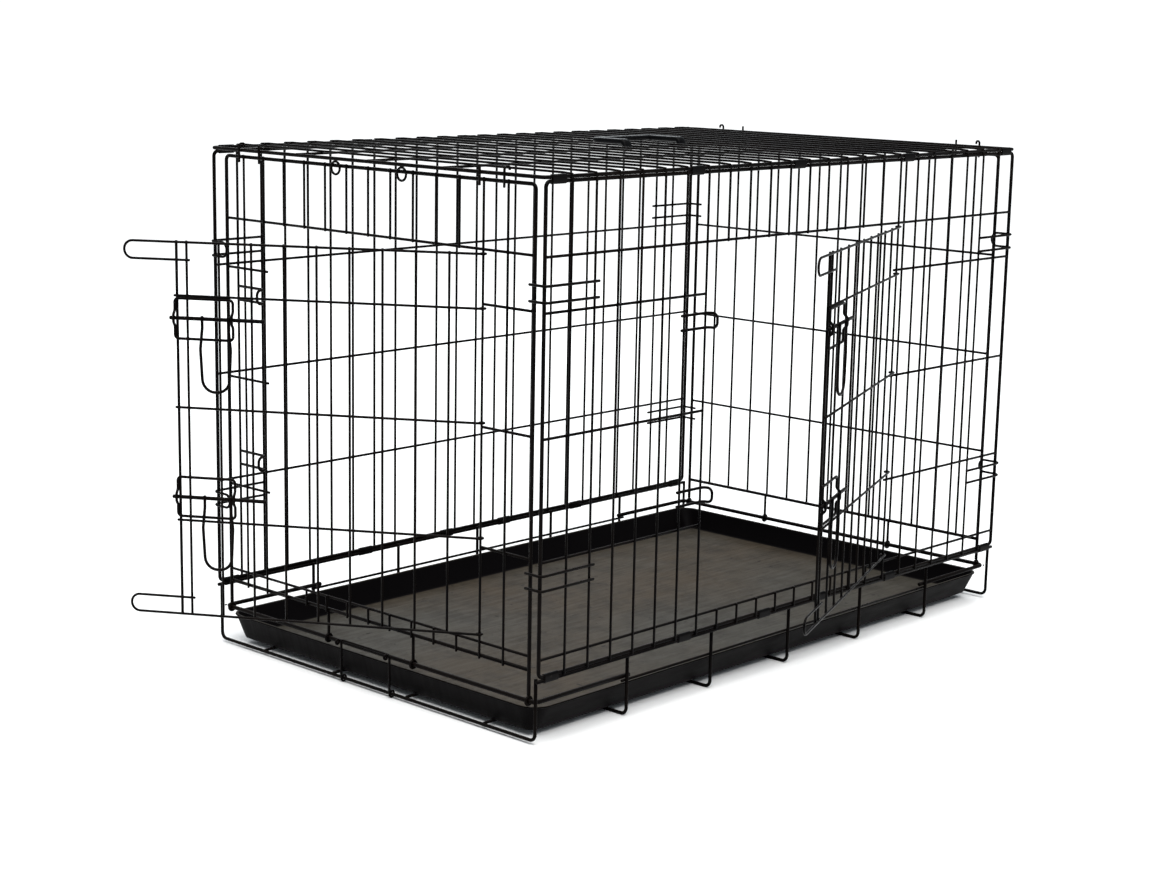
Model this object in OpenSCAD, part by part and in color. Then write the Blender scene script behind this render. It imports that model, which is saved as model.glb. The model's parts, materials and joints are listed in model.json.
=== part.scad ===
// Folding wire dog crate with two doors, slide-bolt latches, a pull-out tray and a carry handle.
// X runs along the crate, Y across it and Z up. The origin is on the floor under the crate's middle.
// Every bent wire is made in straight and curved sections, a hair's breadth apart, and wires that
// are welded together sink a hair's breadth into each other.

/* [Crate] */
// Spacing of the upright wires
pitch = 38.1; // [36:0.1:42]
// Height of the top edge of the long sides
side_top_z = 628; // [610:1:680]
// Height of the base rails that the long sides stand on
base_rail_z = 75; // [70:0.5:80]
// Heights of the long horizontal wires of every panel
rail_zs = [211, 349, 487]; // [150:1:500]

/* [Wire] */
// Diameter of the frame wires and the base legs
frame_d = 4; // [3.4:0.1:4.4]
// Diameter of the upright wires
bar_d = 2.4; // [2:0.1:2.6]
// Diameter of the horizontal wires
rail_d = 2.8; // [2.4:0.1:3]
// Diameter of the heavy bars that the end panels hinge on
end_bar_d = 5; // [4.4:0.1:5.2]
// Diameter of the latch bolts
bolt_d = 4; // [3.6:0.1:4.2]
// Diameter of the latch paddles and receivers
loop_d = 3; // [2.6:0.1:3.2]

/* [Doors] */
// Angle at which the front door stands open
front_door_open = 32.5; // [0:0.5:160]
// Angle at which the side door stands open
side_door_open = 22.5; // [0:0.5:160]
// Width of each door from its hinge to its free edge
door_w = 355; // [350:1:362]
// Length of the stop loops past a door's free edge
door_loop = 61; // [50:1:70]
// Height of the top wire of each door
door_top_z = 543; // [541:0.5:544]
// Height of the bottom wire of each door
door_bottom_z = 110; // [108:0.5:112]

/* [Latches] */
// Heights of the lower and the upper bolt
bolt_zs = [249.5, 457]; // [230:0.5:460]
// Length of a bolt
bolt_len = 113; // [105:1:120]
// Length of the paddle that hangs from a bolt
paddle_drop = 83; // [70:1:100]

/* [Tray] */
// Length of the tray over its rim
tray_l = 906; // [890:1:908]
// Width of the tray over its rim
tray_w = 554; // [540:1:556]
// Height of the tray's rim over the floor
tray_top_z = 39.2; // [34:0.2:40]
// Thickness of the tray's plastic
tray_wall = 2.2; // [1.6:0.1:3]

/* [Handle] */
// Length of the carry handle
handle_l = 123; // [115:1:130]
// How far the handle reaches out from its hinge wire
handle_reach = 62; // [50:1:70]
// Thickness of the handle
handle_t = 8; // [6:0.5:10]

/* [Hidden] */
$fn = 32;

wire_black = [0.09, 0.08, 0.075];
clip_black = [0.06, 0.06, 0.065];
tray_grey = [0.16, 0.15, 0.14];
handle_grey = [0.12, 0.12, 0.13];

// How far welded wires sink into each other
weld = 0.03;
// Gap between the sections of a bent wire
seam = 0.02;
// Running gap round a hinge wire
hinge_gap = 0.35;
// How far an upright runs past the frame wire it is welded to, and past a horizontal wire
overhang = 3;
rail_overhang = 1.8;
// Bend radius of the frames' corners
corner_r = 6;

// Panels: wire spaces along a long side, across an end and across the whole crate
side_cells = 24;
end_cells = 14;
crate_cells = 15;
// Half the width of a doorway, in wire spaces
door_cells = 5;
side_x = side_cells * pitch / 2;
side_y = crate_cells * pitch / 2;
end_y = end_cells * pitch / 2;
door_half = door_cells * pitch;
// Distance from a frame wire's centre out to the uprights' centres
bar_out = (frame_d + bar_d) / 2 - weld;
// Distance from a frame wire's centre out to the horizontal wires' centres
rail_out = bar_out - (bar_d + rail_d) / 2 + weld;
// Where the horizontal wires stop, short of a frame wire's centre
rail_stop = frame_d / 2 - 2 * weld;

// Base
leg_y = side_y - frame_d + weld;
leg_step = 4 * pitch;
leg_bend_r = 8;
leg_top_z = base_rail_z + overhang;
// The end legs stay clear of the floor so that the tray stop can wrap round the front one
end_leg_lift = 3;
end_bar_z = 48;
end_bar_x = side_x - (frame_d + end_bar_d) / 2 + weld;
end_bar_y = leg_y - (frame_d + end_bar_d) / 2 + weld;
end_bar_stop_x = side_x - leg_step - 9;
side_bar_z = 43;
floor_wire_d = 3;
floor_wire_z = frame_d + floor_wire_d / 2 - weld;
floor_wire_ys = [-198, -66, 66, 198];

// Long sides
side_bottom_z = base_rail_z + frame_d + 0.6;
header_z = 547.6;
sill_z = 100;
keeper_zs = [[517, 499], [197, 180]];
keeper_y = side_y + bar_out + (bar_d + rail_d) / 2 - weld;
keeper_x = side_x + frame_d / 2 + rail_d / 2 + 0.3;
keeper_bend_r = 5;

// Top panel
top_z = side_top_z + frame_d + 0.6;
cross_z = top_z + bar_out;
top_long_ys = [-127, 0, 127];

// End panels
end_bottom_z = 84;
end_top_z = 624;
end_x = end_bar_x;
end_bar_plane = end_x + bar_out;
top_end_x = end_bar_plane + bar_d / 2 + frame_d / 2 + 0.45;
hook_cells = [-6, -5, 5, 6];
hook_x = top_end_x + (frame_d + bar_d) / 2 - weld;
hook_top_z = top_z + 8;
hook_bottom_z = 618;
eye_d = 3.2;
eye_r = (end_bar_d + eye_d) / 2 + hinge_gap;
// Wire spaces from the middle of an end panel to its inner eyes, at the front and at the rear
front_eye_cell = 2;
rear_eye_cell = 3;

// Rings on the front panel's top wire: radius, and distance of their centres below the wire
pull_ring_r = 7.5;
pull_ring_drop = 2.5;

// Clips round the pairs of wires at the crate's long edges
clip_l = 22;
clip_wall = 0.9;
clip_gap = 0.2;
clip_slit = 1.6;
top_clip_cells = [0.5, 6.5, 11.5, 17.5, 23.5];
near_clip_cells = [0.5, 6.5, 10.5, 13.5, 17.5, 23.5];

// Doors, in a frame with the hinge wire on the Z axis, the door along -X and the outside at -Y
door_rail_out = (bar_d + rail_d) / 2 + hinge_gap;
door_bar_out = door_rail_out - (bar_d + rail_d) / 2 + weld;
door_bar_count = 9;
door_rail_zs = [222, 354, 482.5];
curl_wrap = 280;
stop_loop_h = 20;
stop_loop_back = 17;

// Latches, in a door's frame
bolt_out = door_bar_out + (bar_d + bolt_d) / 2 + 0.3;
bolt_past = 8;
guide_l = 69;
guide_h = 46;
guide_jog_out = bolt_out + (bolt_d + rail_d) / 2 + 0.35;
guide_jog_h = 9;
guide_past = 2;
guide_tops = [272.8, 479.4];
paddle_out = bolt_out + (bolt_d + loop_d) / 2 + seam;
paddle_w = 31;
paddle_first = 32;
receiver_h = 17;
receiver_out = (bar_d + loop_d) / 2 - weld;
receiver_nose = 15;
receiver_s = 2 * door_half - 4;

// Tray stop
stop_half_w = 43.5;
stop_d = 2.6;
stop_r = (frame_d + stop_d) / 2 + 0.3;
stop_pivot_z = frame_d / 2 + end_leg_lift;
stop_top_z = 53.5;
stop_curl_r = 3;

// Tray
tray_bottom_z = 7.2;
tray_slope_x = 8;
tray_slope_y = 14;
tray_lip = 2;
tray_corner_r = 24;

// Carry handle
handle_x = 43;
handle_hinge_z = top_z + rail_out;
handle_bore_d = rail_d + 0.14;
handle_foot_r = 4.3;
handle_grip_w = 13;
handle_arm_w = 15;
handle_corner_r = 9;
handle_bottom_z = cross_z + bar_d / 2 + 0.4;

// Straight wires along one axis
module rod_x(x0, x1, y, z, d) translate([x0, y, z]) rotate([0, 90, 0]) cylinder(h = x1 - x0, d = d);
module rod_y(y0, y1, x, z, d) translate([x, y0, z]) rotate([-90, 0, 0]) cylinder(h = y1 - y0, d = d);
module rod_z(z0, z1, x, y, d) translate([x, y, z0]) cylinder(h = z1 - z0, d = d);

function unit(v) = v / norm(v);
function side_turn(u, v) = atan2(u[0] * v[1] - u[1] * v[0], u * v);
function turn_at(p, i) = let (n = len(p))
    side_turn(unit(p[i] - p[(i + n - 1) % n]), unit(p[(i + 1) % n] - p[i]));

// A bent wire in the XY plane through the given points, with rounded corners
module bent_wire(points, r, d, closed = false) {
    n = len(points);
    last = closed ? n - 1 : n - 2;
    for (i = [0 : last]) {
        a = points[i];
        b = points[(i + 1) % n];
        u = unit(b - a);
        cut_a = !closed && i == 0 ? 0 : r * tan(abs(turn_at(points, i)) / 2) + seam;
        cut_b = !closed && i == last ? 0 : r * tan(abs(turn_at(points, (i + 1) % n)) / 2) + seam;
        translate(a + u * cut_a) rotate([0, 0, atan2(u[1], u[0])]) rotate([0, 90, 0])
            cylinder(h = norm(b - a) - cut_a - cut_b, d = d);
    }
    for (i = [closed ? 0 : 1 : closed ? n - 1 : n - 2]) {
        u = unit(points[i] - points[(i + n - 1) % n]);
        t = turn_at(points, i);
        start = points[i] - u * r * tan(abs(t) / 2);
        centre = start + sign(t) * r * [-u[1], u[0]];
        from = atan2(start[1] - centre[1], start[0] - centre[0]);
        translate(centre) rotate([0, 0, t < 0 ? from + t : from])
            rotate_extrude(angle = abs(t)) translate([r, 0]) circle(d = d);
    }
}

// Stands a flat wire up in the plane Y = y: its X stays X and its Y becomes Z
module facing_y(y) translate([0, y, 0]) rotate([90, 0, 0]) children();

// Stands a flat wire up in the plane X = x: its X becomes Y and its Y becomes Z
module facing_x(x) translate([x, 0, 0]) rotate([90, 0, 90]) children();

// Every panel is drawn with its outside at -Y and then turned to its place
module far_side() rotate([0, 0, 180]) children();
module front_end() rotate([0, 0, -90]) children();
module rear_end() rotate([0, 0, 90]) children();

// Puts a door's frame on its hinge wire, turned open by an angle
module side_doorway(open) translate([door_half, -(side_y + bar_out), 0]) rotate([0, 0, open]) children();
module front_doorway(open) front_end() translate([door_half, -end_bar_plane, 0]) rotate([0, 0, open]) children();

module side_frame_loop() facing_y(-side_y)
    bent_wire([[-side_x, side_bottom_z], [side_x, side_bottom_z], [side_x, side_top_z], [-side_x, side_top_z]],
        corner_r, frame_d, closed = true);

// Uprights at every wire space, cut short above and below a doorway
module uprights(cells, plane, z0, z1, doorway) for (k = [1 : cells - 1]) {
    x = (k - cells / 2) * pitch;
    if (doorway && abs(x) < door_half - 1) {
        rod_z(z0 - overhang, sill_z + rail_overhang, x, -plane, bar_d);
        rod_z(header_z - rail_overhang, z1 + overhang, x, -plane, bar_d);
    } else
        rod_z(z0 - overhang, z1 + overhang, x, -plane, bar_d);
}

// Horizontal wires, which stop at the posts of a doorway
module rails(half, plane, doorway) {
    x = half - rail_stop;
    for (z = rail_zs)
        if (doorway) {
            rod_x(-x, -door_half + overhang, -plane, z, rail_d);
            rod_x(door_half - overhang, x, -plane, z, rail_d);
        } else
            rod_x(-x, x, -plane, z, rail_d);
    if (doorway)
        for (z = [sill_z, header_z]) rod_x(-x, x, -plane, z, rail_d);
}

// Pairs of wires that reach round a side's ends to hold the end panels: open at one end, looped at the other
module keepers() for (pair = keeper_zs) {
    inner_x = side_x - 2 * pitch - 5;
    open_tip_y = 266;
    loop_tip_y = 258;
    for (z = pair) {
        translate([0, 0, z])
            bent_wire([[-inner_x, -keeper_y], [-keeper_x, -keeper_y], [-keeper_x, -open_tip_y]],
                keeper_bend_r, rail_d);
        translate([0, 0, z])
            bent_wire([[inner_x, -keeper_y], [keeper_x, -keeper_y], [keeper_x, -keeper_y + keeper_bend_r + 1]],
                keeper_bend_r, rail_d);
    }
    loop_y = keeper_y - keeper_bend_r - 1 - seam;
    facing_x(keeper_x)
        bent_wire([[-loop_y, pair[0]], [-loop_tip_y, pair[0]], [-loop_tip_y, pair[1]], [-loop_y, pair[1]]],
            (pair[0] - pair[1]) / 2 - 0.1, rail_d);
}

// Catches for a door's bolts: two prongs across the doorway's post, with a nose bent outwards
module receivers() for (z = bolt_zs) {
    prong_end = receiver_s + pitch + 12;
    nose_from = receiver_out - loop_d / 2;
    for (side = [-1, 1])
        rod_x(-prong_end, -receiver_s - loop_d / 2 - seam, -receiver_out, z + side * receiver_h / 2, loop_d);
    facing_x(-receiver_s)
        bent_wire([[-nose_from, z + receiver_h / 2], [-receiver_nose, z + receiver_h / 2],
            [-receiver_nose, z - receiver_h / 2], [-nose_from, z - receiver_h / 2]],
            receiver_h / 2 - 0.1, loop_d);
}

// Base: cross wires bent up at both ends into legs
module base_legs() color(wire_black) for (i = [-3 : 3]) {
    z = frame_d / 2 + (abs(i) == 3 ? end_leg_lift : 0);
    facing_x(i * leg_step)
        bent_wire([[-leg_y, leg_top_z], [-leg_y, z], [leg_y, z], [leg_y, leg_top_z]], leg_bend_r, frame_d);
}

module base_rails() color(wire_black) for (side = [-1, 1])
    rod_x(-side_x - overhang, side_x + overhang, side * side_y, base_rail_z, frame_d);

// Heavy U bars: the end panels hinge on them
module base_end_bars() color(wire_black) for (end = [-1, 1]) translate([0, 0, end_bar_z])
    bent_wire([[end * end_bar_stop_x, -end_bar_y], [end * end_bar_x, -end_bar_y],
        [end * end_bar_x, end_bar_y], [end * end_bar_stop_x, end_bar_y]], leg_bend_r, end_bar_d);

module base_side_bars() color(wire_black) for (side = [-1, 1])
    rod_x(-2 * leg_step - 6, 2 * leg_step + 6, side * (leg_y - (frame_d + rail_d) / 2 + weld), side_bar_z, rail_d);

module base_floor_wires() color(wire_black) for (y = floor_wire_ys)
    rod_x(-side_x + rail_stop, side_x - rail_stop, y, floor_wire_z, floor_wire_d);

// Long side with the doorway
module near_side_frame() color(wire_black) side_frame_loop();
module near_side_bars() color(wire_black)
    uprights(side_cells, side_y + bar_out, side_bottom_z, side_top_z, true);
module near_side_rails() color(wire_black) rails(side_x, side_y + rail_out, true);
module near_side_keepers() color(wire_black) keepers();
module side_door_receivers() color(wire_black) side_doorway(0) receivers();

// Plain long side
module far_side_frame() color(wire_black) far_side() side_frame_loop();
module far_side_bars() color(wire_black) far_side()
    uprights(side_cells, side_y + bar_out, side_bottom_z, side_top_z, false);
module far_side_rails() color(wire_black) far_side() rails(side_x, side_y + rail_out, false);
module far_side_keepers() color(wire_black) far_side() keepers();

// Top panel
module top_frame() color(wire_black) translate([0, 0, top_z])
    bent_wire([[-top_end_x, -side_y], [top_end_x, -side_y], [top_end_x, side_y], [-top_end_x, side_y]],
        corner_r, frame_d, closed = true);
module top_cross_wires() color(wire_black) for (k = [1 : side_cells - 1])
    rod_y(-side_y - overhang, side_y + overhang, (k - side_cells / 2) * pitch, cross_z, bar_d);
module top_long_wires() color(wire_black) for (y = top_long_ys)
    rod_x(-top_end_x + rail_stop, top_end_x - rail_stop, y, top_z + rail_out, rail_d);

// Short wires on the top panel's ends that the end panels come up against
module end_hooks() {
    for (k = hook_cells)
        if (abs(k) == 6)
            facing_x(k * pitch)
                bent_wire([[-hook_x, hook_bottom_z], [-hook_x, hook_top_z], [-hook_x + 8, hook_top_z],
                    [-hook_x + 8, hook_top_z - 4]], 3.5, bar_d);
        else
            rod_z(hook_bottom_z, hook_top_z, k * pitch, -hook_x, bar_d);
}
module top_hooks() color(wire_black) {
    front_end() end_hooks();
    rear_end() end_hooks();
}

// A folded sheet clip round two wires, one above the other, that lets them turn
module edge_clip(low_z, high_z) {
    y = frame_d / 2 + clip_gap;
    z0 = low_z - frame_d / 2 - clip_gap;
    z1 = high_z + frame_d / 2 + clip_gap;
    translate([-clip_l / 2, 0, 0]) difference() {
        translate([0, -y - clip_wall, z0 - clip_wall])
            cube([clip_l, 2 * (y + clip_wall), z1 - z0 + 2 * clip_wall]);
        translate([-1, -y, z0]) cube([clip_l + 2, 2 * y, z1 - z0]);
        translate([-1, 0, (z0 + z1 - clip_slit) / 2]) cube([clip_l + 2, 2 * y, clip_slit]);
    }
}
module clip_row(cells, low_z, high_z) for (c = cells)
    translate([(c - side_cells / 2) * pitch, -side_y, 0]) edge_clip(low_z, high_z);
module top_edge_clips() color(clip_black) {
    clip_row(top_clip_cells, side_top_z, top_z);
    far_side() clip_row([for (c = top_clip_cells) side_cells - c], side_top_z, top_z);
}
module bottom_edge_clips() color(clip_black) {
    clip_row(near_clip_cells, base_rail_z, side_bottom_z);
    far_side() clip_row([for (c = top_clip_cells) side_cells - c], base_rail_z, side_bottom_z);
}

// An end panel's frame: a bent wire whose posts run down to the outer eyes, and a straight bottom wire
module end_frame() facing_y(-end_x) {
    foot_z = end_bar_z + eye_r + eye_d / 2 - weld;
    bent_wire([[-end_y, foot_z], [-end_y, end_top_z], [end_y, end_top_z], [end_y, foot_z]], corner_r, frame_d);
    wire_end = end_y - frame_d / 2 - seam;
    rod_x(-wire_end, wire_end, end_bottom_z, 0, frame_d);
}

// Eyes under an end panel that wrap round its base bar
module hinge_eyes(inner_cell) for (u = [-end_y, -inner_cell * pitch, inner_cell * pitch, end_y]) {
    if (abs(u) < end_y) rod_z(end_bar_z + eye_r, end_bottom_z - frame_d / 2 + weld, u, -end_x, eye_d);
    translate([u, -end_x, end_bar_z]) rotate([0, 90, 0])
        rotate_extrude() translate([eye_r, 0]) circle(d = eye_d);
}

// Front end panel, with the doorway
module front_frame() color(wire_black) front_end() end_frame();
module front_bars() color(wire_black) front_end()
    uprights(end_cells, end_bar_plane, end_bottom_z, end_top_z, true);
module front_rails() color(wire_black) front_end() rails(end_y, end_x + rail_out, true);
module front_hinge_eyes() color(wire_black) front_end() hinge_eyes(front_eye_cell);
module front_door_receivers() color(wire_black) front_doorway(0) receivers();
module front_pull_rings() color(wire_black) front_end() for (side = [-1, 1])
    translate([side * 1.5 * pitch, -end_bar_plane, end_top_z - pull_ring_drop]) rotate([90, 0, 0])
        rotate_extrude() translate([pull_ring_r, 0]) circle(d = bar_d);

// Plain rear end panel
module rear_frame() color(wire_black) rear_end() end_frame();
module rear_bars() color(wire_black) rear_end()
    uprights(end_cells, end_bar_plane, end_bottom_z, end_top_z, false);
module rear_rails() color(wire_black) rear_end() rails(end_y, end_x + rail_out, false);
module rear_hinge_eyes() color(wire_black) rear_end() hinge_eyes(rear_eye_cell);

// Door parts, in the door's own frame
module door_bars() {
    for (k = [1 : door_bar_count])
        rod_z(door_bottom_z - rail_overhang, door_top_z + rail_overhang, -k * pitch, -door_bar_out, bar_d);
    rod_z(door_bottom_z - rail_overhang, door_top_z + rail_overhang, -door_w,
        -(door_rail_out - rail_d + weld), rail_d);
}
module door_rails() {
    tip = door_w + door_loop;
    back = door_w - stop_loop_back;
    for (z = door_rail_zs) rod_x(-door_w - overhang, -seam, -door_rail_out, z, rail_d);
    facing_y(-door_rail_out) {
        bent_wire([[-seam, door_top_z], [-tip, door_top_z], [-tip, door_top_z - stop_loop_h],
            [-back, door_top_z - stop_loop_h]], stop_loop_h / 2 - 0.1, rail_d);
        bent_wire([[-seam, door_bottom_z], [-tip, door_bottom_z], [-tip, door_bottom_z + stop_loop_h],
            [-back, door_bottom_z + stop_loop_h]], stop_loop_h / 2 - 0.1, rail_d);
    }
}
module door_curls() for (z = concat([door_bottom_z, door_top_z], door_rail_zs))
    translate([0, 0, z]) rotate([0, 0, -90])
        rotate_extrude(angle = curl_wrap) translate([door_rail_out, 0]) circle(d = rail_d);

// Wire guides for the bolts: flat loops whose ends jog outwards over the bolt
module door_guides() for (i = [0, 1]) {
    z = bolt_zs[i];
    top = guide_tops[i];
    bottom = top - guide_h;
    near = door_w + guide_past - guide_l;
    far = door_w + guide_past;
    facing_y(-door_rail_out) {
        bent_wire([[-near, z + guide_jog_h + 1], [-near, top], [-far, top], [-far, z + guide_jog_h + 1]],
            5, rail_d);
        bent_wire([[-near, z - guide_jog_h - 1], [-near, bottom], [-far, bottom], [-far, z - guide_jog_h - 1]],
            5, rail_d);
    }
    for (x = [-near, -far]) facing_x(x)
        bent_wire([[-door_rail_out, z + guide_jog_h + 1 - seam], [-door_rail_out, z + guide_jog_h],
            [-guide_jog_out, z + guide_jog_h / 2], [-guide_jog_out, z - guide_jog_h / 2],
            [-door_rail_out, z - guide_jog_h], [-door_rail_out, z - guide_jog_h - 1 + seam]], 1.5, rail_d);
}

// Latch bolt with the paddle that slides it
module latch_bolt(z) {
    rod_x(-door_w - bolt_past, -door_w - bolt_past + bolt_len, -bolt_out, z, bolt_d);
    first = door_w - paddle_first;
    facing_y(-paddle_out)
        bent_wire([[-first, z + 4], [-first, z - paddle_drop], [-first + paddle_w, z - paddle_drop],
            [-first + paddle_w, z + 4]], paddle_w / 2 - 0.5, loop_d);
}

module front_door_bars() color(wire_black) front_doorway(front_door_open) door_bars();
module front_door_rails() color(wire_black) front_doorway(front_door_open) door_rails();
module front_door_hinge_curls() color(wire_black) front_doorway(front_door_open) door_curls();
module front_door_guides() color(wire_black) front_doorway(front_door_open) door_guides();
module front_lower_bolt() color(wire_black) front_doorway(front_door_open) latch_bolt(bolt_zs[0]);
module front_upper_bolt() color(wire_black) front_doorway(front_door_open) latch_bolt(bolt_zs[1]);

module side_door_bars() color(wire_black) side_doorway(side_door_open) door_bars();
module side_door_rails() color(wire_black) side_doorway(side_door_open) door_rails();
module side_door_hinge_curls() color(wire_black) side_doorway(side_door_open) door_curls();
module side_door_guides() color(wire_black) side_doorway(side_door_open) door_guides();
module side_lower_bolt() color(wire_black) side_doorway(side_door_open) latch_bolt(bolt_zs[0]);
module side_upper_bolt() color(wire_black) side_doorway(side_door_open) latch_bolt(bolt_zs[1]);

// Tray: a shallow pan with sloping walls and a flat lip
module rounded_slab(l, w, r, h) linear_extrude(h) {
    square([l - 2 * r, w], center = true);
    square([l, w - 2 * r], center = true);
    for (x = [-1, 1], y = [-1, 1]) translate([x * (l / 2 - r), y * (w / 2 - r)]) circle(r);
}
module tray_solid(shrink, z0, z1) hull() {
    l = tray_l - 2 * tray_lip - 2 * shrink;
    w = tray_w - 2 * tray_lip - 2 * shrink;
    translate([0, 0, z0])
        rounded_slab(l - 2 * tray_slope_x, w - 2 * tray_slope_y, tray_corner_r - shrink, 0.01);
    translate([0, 0, z1 - 0.01]) rounded_slab(l, w, tray_corner_r - shrink, 0.01);
}
module tray() color(tray_grey) {
    difference() {
        tray_solid(0, tray_bottom_z, tray_top_z);
        tray_solid(tray_wall, tray_bottom_z + tray_wall, tray_top_z + 1);
    }
    translate([0, 0, tray_top_z - tray_lip]) difference() {
        rounded_slab(tray_l, tray_w, tray_corner_r + tray_lip, tray_lip);
        translate([0, 0, -1]) rounded_slab(tray_l - 4 * tray_lip, tray_w - 4 * tray_lip,
            tray_corner_r - tray_lip, tray_lip + 2);
    }
}

// Gate that keeps the tray in: eyes round the front floor wire, a bent bar outside, a finger curl on each corner
module tray_stop() color(wire_black) {
    leg_x = -side_x - stop_r;
    curl_x = leg_x - stop_d - stop_curl_r - seam;
    facing_x(leg_x) bent_wire([[-stop_half_w, stop_pivot_z + seam], [-stop_half_w, stop_top_z],
        [stop_half_w, stop_top_z], [stop_half_w, stop_pivot_z + seam]], 4, stop_d);
    for (y = [-stop_half_w, stop_half_w]) {
        translate([-side_x, y, stop_pivot_z]) rotate([90, 0, 0]) rotate([0, 0, 180])
            rotate_extrude(angle = 320) translate([stop_r, 0]) circle(d = stop_d);
        translate([curl_x, y, stop_top_z - stop_curl_r - 2]) rotate([90, 0, 0])
            rotate_extrude(angle = 320) translate([stop_curl_r, 0]) circle(d = stop_d);
    }
}

// Plastic carry handle, lying over on its hinge wire
module handle_outline() {
    half = handle_l / 2;
    difference() {
        union() {
            translate([-handle_foot_r, -half])
                square([handle_reach + handle_foot_r - handle_corner_r, handle_l]);
            translate([0, -half + handle_corner_r])
                square([handle_reach, handle_l - 2 * handle_corner_r]);
            for (y = [-1, 1])
                translate([handle_reach - handle_corner_r, y * (half - handle_corner_r)])
                    circle(handle_corner_r);
        }
        translate([-handle_foot_r - 1, -half + handle_arm_w])
            square([handle_reach + handle_foot_r + 1 - handle_grip_w, handle_l - 2 * handle_arm_w]);
    }
}
module carry_handle() color(handle_grey) translate([handle_x, 0, 0]) rotate([0, 0, 90]) difference() {
    foot_y = (handle_l - handle_arm_w) / 2;
    union() {
        translate([0, 0, handle_bottom_z]) linear_extrude(handle_t) handle_outline();
        for (y = [-foot_y, foot_y]) {
            rod_y(y - handle_arm_w / 2, y + handle_arm_w / 2, 0, handle_hinge_z, 2 * handle_foot_r);
            translate([-handle_foot_r, y - handle_arm_w / 2, handle_hinge_z])
                cube([2 * handle_foot_r, handle_arm_w, handle_bottom_z + 1 - handle_hinge_z]);
        }
    }
    rod_y(-handle_l, handle_l, 0, handle_hinge_z, handle_bore_d);
}

base_legs();
base_rails();
base_end_bars();
base_side_bars();
base_floor_wires();
near_side_frame();
near_side_bars();
near_side_rails();
near_side_keepers();
far_side_frame();
far_side_bars();
far_side_rails();
far_side_keepers();
side_door_receivers();
top_frame();
top_cross_wires();
top_long_wires();
top_hooks();
top_edge_clips();
bottom_edge_clips();
front_frame();
front_bars();
front_rails();
front_hinge_eyes();
front_pull_rings();
front_door_receivers();
rear_frame();
rear_bars();
rear_rails();
rear_hinge_eyes();
front_door_bars();
front_door_rails();
front_door_hinge_curls();
front_door_guides();
side_door_bars();
side_door_rails();
side_door_hinge_curls();
side_door_guides();
front_lower_bolt();
front_upper_bolt();
side_lower_bolt();
side_upper_bolt();
tray();
tray_stop();
carry_handle();
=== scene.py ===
"""Looks of a folding wire dog crate: bent black wires, crimped clips, a moulded tray and a carry handle.

Sizes are in millimetres and repeat the design's, in its frame: X along the crate, Y across it, Z up.
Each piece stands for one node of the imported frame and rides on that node's body.
"""
import json
import math

import bpy
from mathutils import Matrix, Vector

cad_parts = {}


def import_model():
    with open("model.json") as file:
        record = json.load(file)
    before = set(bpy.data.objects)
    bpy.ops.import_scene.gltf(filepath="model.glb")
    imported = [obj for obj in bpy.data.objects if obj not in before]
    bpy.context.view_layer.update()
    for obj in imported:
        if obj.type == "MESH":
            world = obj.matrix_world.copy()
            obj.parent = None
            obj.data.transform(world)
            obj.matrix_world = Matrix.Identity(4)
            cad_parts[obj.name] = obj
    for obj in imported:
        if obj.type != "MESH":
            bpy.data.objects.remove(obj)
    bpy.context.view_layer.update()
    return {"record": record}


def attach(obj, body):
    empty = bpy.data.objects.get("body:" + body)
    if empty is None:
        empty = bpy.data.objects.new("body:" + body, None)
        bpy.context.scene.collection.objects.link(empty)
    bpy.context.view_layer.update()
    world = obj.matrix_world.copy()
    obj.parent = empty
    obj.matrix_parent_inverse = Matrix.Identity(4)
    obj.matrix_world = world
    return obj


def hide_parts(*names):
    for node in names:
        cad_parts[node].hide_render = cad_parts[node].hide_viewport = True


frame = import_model()

MM = 0.001
NODE_BODY = {node: body for body, nodes in frame["record"]["behaviour"]["bodies"].items() for node in nodes}


# ---------------------------------------------------------------- driving sizes
PITCH = 38.1
FRAME_D = 4.0
BAR_D = 2.4
RAIL_D = 2.8
END_BAR_D = 5.0
FLOOR_WIRE_D = 3.0
EYE_D = 3.2
BOLT_D = 4.0
LOOP_D = 3.0
STOP_D = 2.6
# How deep a welded wire sinks into the next one
WELD = 0.03
# What the coating adds to a wire's diameter: on most wires, on those that others slide or swing past,
# and on the plain panels' uprights
COATING = 0.5
THIN_COATING = 0.16
THICK_COATING = 0.85
# How far wires reach past the wires that they end on
OVERHANG = 3.0
RAIL_OVERHANG = 1.8
CORNER_R = 6.0

SIDE_CELLS = 24
CRATE_CELLS = 15
END_CELLS = 14
DOOR_CELLS = 5
SIDE_X = SIDE_CELLS * PITCH / 2
SIDE_Y = CRATE_CELLS * PITCH / 2
END_Y = END_CELLS * PITCH / 2
DOOR_HALF = DOOR_CELLS * PITCH
# From a frame wire's centre out to the uprights and to the horizontal wires, and where the latter stop
BAR_OUT = (FRAME_D + BAR_D) / 2 - WELD
RAIL_OUT = BAR_OUT - (BAR_D + RAIL_D) / 2 + WELD
RAIL_STOP = FRAME_D / 2 - 2 * WELD

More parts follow.
